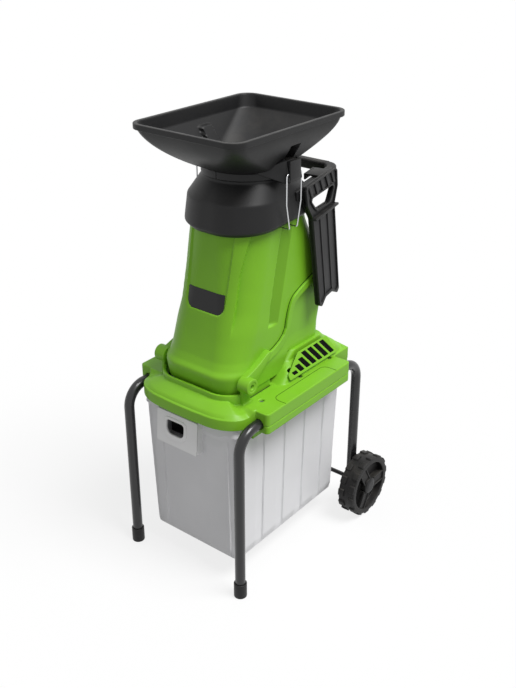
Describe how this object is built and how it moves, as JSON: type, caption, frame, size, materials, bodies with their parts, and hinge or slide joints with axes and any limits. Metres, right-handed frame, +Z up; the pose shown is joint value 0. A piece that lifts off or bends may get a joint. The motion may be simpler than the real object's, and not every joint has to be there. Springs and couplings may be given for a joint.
{
  "type": "garden shredder",
  "caption": "Electric garden shredder: a green hood with a black feed hopper tilts on a deck over a sliding grey collection box, on a tube frame with two rear wheels.",
  "frame": {"origin": "on the floor, in the middle of the box that holds the whole shredder", "axes": "+Z up, +X to the right of a person who faces the front, -Y towards the front with the collection box's hand hole"},
  "size_m": [0.42, 0.506, 0.96],
  "materials": {
    "black_tube": "satin",
    "black_plastic": "fine grain",
    "wheel_plastic": "fine grain",
    "steel": "zinc plated",
    "green_plastic": "semi-gloss",
    "grey_plastic": "satin",
    "cast_alloy": "as cast",
    "knife_steel": "ground",
    "belt_rubber": "matt",
    "motor_metal": "satin",
    "badge_plastic": "satin",
    "brush_plastic": "matt",
    "on_green": "gloss",
    "off_red": "gloss",
    "reset_black": "matt"
  },
  "bodies": {
    "frame": {"left_leg_frame": "black_tube", "right_leg_frame": "black_tube", "front_feet": "black_plastic", "leg_end_plugs": "black_plastic", "axle": "black_tube", "axle_washers": "steel", "axle_clips": "steel", "base_lower": "green_plastic", "base_upper": "green_plastic", "base_screws": "steel", "hinge_pins": "steel", "chamber_plate": "steel", "bearing_housing": "cast_alloy", "spindle_bearings": "steel", "drive_belt": "belt_rubber", "motor_can": "motor_metal", "stator": "motor_metal", "motor_bearings": "steel", "brush_holders": "brush_plastic", "switch_box": "black_plastic", "power_inlet": "black_plastic"},
    "hood": {"hood": "green_plastic", "motor_cover": "green_plastic", "badge": "badge_plastic", "feed_chute": "black_plastic", "feed_pipe": "black_plastic", "counter_knife": "steel", "collar": "black_plastic", "neck_ring": "black_plastic", "hopper": "black_plastic", "transport_handle": "black_plastic", "latch_pins": "steel"},
    "box": {"collection_box": "grey_plastic"},
    "left_wheel": {"left_wheel": "wheel_plastic", "left_hub_cap": "black_plastic"},
    "right_wheel": {"right_wheel": "wheel_plastic", "right_hub_cap": "black_plastic"},
    "cutter": {"spindle": "steel", "knife_disc": "steel", "knives": "knife_steel", "knife_bolts": "steel", "disc_nut": "steel", "driven_pulley": "black_plastic"},
    "rotor": {"armature": "motor_metal", "motor_fan": "black_plastic", "motor_pulley": "steel"},
    "left_lever": {"left_latch_lever": "black_plastic"},
    "right_lever": {"right_latch_lever": "black_plastic"},
    "left_wire": {"left_latch_wire": "steel"},
    "right_wire": {"right_latch_wire": "steel"},
    "plunger": {"plunger": "black_plastic"},
    "lock": {"lock_knob": "black_plastic", "lock_screw": "steel"},
    "on_button": {"on_button": "on_green"},
    "off_button": {"off_button": "off_red"},
    "reset_button": {"reset_button": "reset_black"}
  },
  "joints": [
    {"name": "hood_tilt", "type": "hinge", "parent": "frame", "child": "hood", "pos_m": [0, -0.164, 0.465], "axis": [1, 0, 0], "range_deg": [0, 75]},
    {"name": "box_slide", "type": "slide", "parent": "frame", "child": "box", "axis": [0, -1, 0], "range_m": [0, 0.42]},
    {"name": "left_wheel_spin", "type": "hinge", "parent": "frame", "child": "left_wheel", "pos_m": [-0.19, 0.178, 0.075], "axis": [1, 0, 0], "continuous": true},
    {"name": "right_wheel_spin", "type": "hinge", "parent": "frame", "child": "right_wheel", "pos_m": [0.19, 0.178, 0.075], "axis": [1, 0, 0], "continuous": true},
    {"name": "cutter_spin", "type": "hinge", "parent": "frame", "child": "cutter", "pos_m": [0, -0.067, 0.43], "axis": [0, 0, 1], "continuous": true},
    {"name": "rotor_spin", "type": "hinge", "parent": "frame", "child": "rotor", "pos_m": [0, 0.061, 0.43], "axis": [0, 0, 1], "continuous": true},
    {"name": "left_lever_open", "type": "hinge", "parent": "hood", "child": "left_lever", "pos_m": [-0.113, -0.021, 0.853], "axis": [0, -1, 0], "range_deg": [0, 100]},
    {"name": "right_lever_open", "type": "hinge", "parent": "hood", "child": "right_lever", "pos_m": [0.113, -0.021, 0.853], "axis": [0, 1, 0], "range_deg": [0, 100]},
    {"name": "left_wire_swing", "type": "hinge", "parent": "left_lever", "child": "left_wire", "pos_m": [-0.114, -0.021, 0.865], "axis": [0, -1, 0], "range_deg": [-131, 1]},
    {"name": "right_wire_swing", "type": "hinge", "parent": "right_lever", "child": "right_wire", "pos_m": [0.114, -0.021, 0.865], "axis": [0, 1, 0], "range_deg": [-131, 1]},
    {"name": "plunger_lift", "type": "slide", "parent": "hood", "child": "plunger", "axis": [0.7071, 0, 0.7071], "range_m": [0, 0.2]},
    {"name": "lock_turn", "type": "hinge", "parent": "hood", "child": "lock", "pos_m": [0, 0.149, 0.5], "axis": [0, 0, 1], "range_deg": [0, 360]},
    {"name": "on_press", "type": "slide", "parent": "frame", "child": "on_button", "axis": [0, -1, 0], "range_m": [0, 0.003], "stiffness_N_per_m": 400},
    {"name": "off_press", "type": "slide", "parent": "frame", "child": "off_button", "axis": [0, -1, 0], "range_m": [0, 0.003], "stiffness_N_per_m": 400},
    {"name": "reset_press", "type": "slide", "parent": "frame", "child": "reset_button", "axis": [0, -1, 0], "range_m": [0, 0.003], "stiffness_N_per_m": 400}
  ],
  "couplings": [
    {"joint": "rotor_spin", "follows": "cutter_spin", "ratio": 3},
    {"joint": "left_wire_swing", "follows": "left_lever_open", "ratio": -1.3},
    {"joint": "right_wire_swing", "follows": "right_lever_open", "ratio": -1.3}
  ]
}
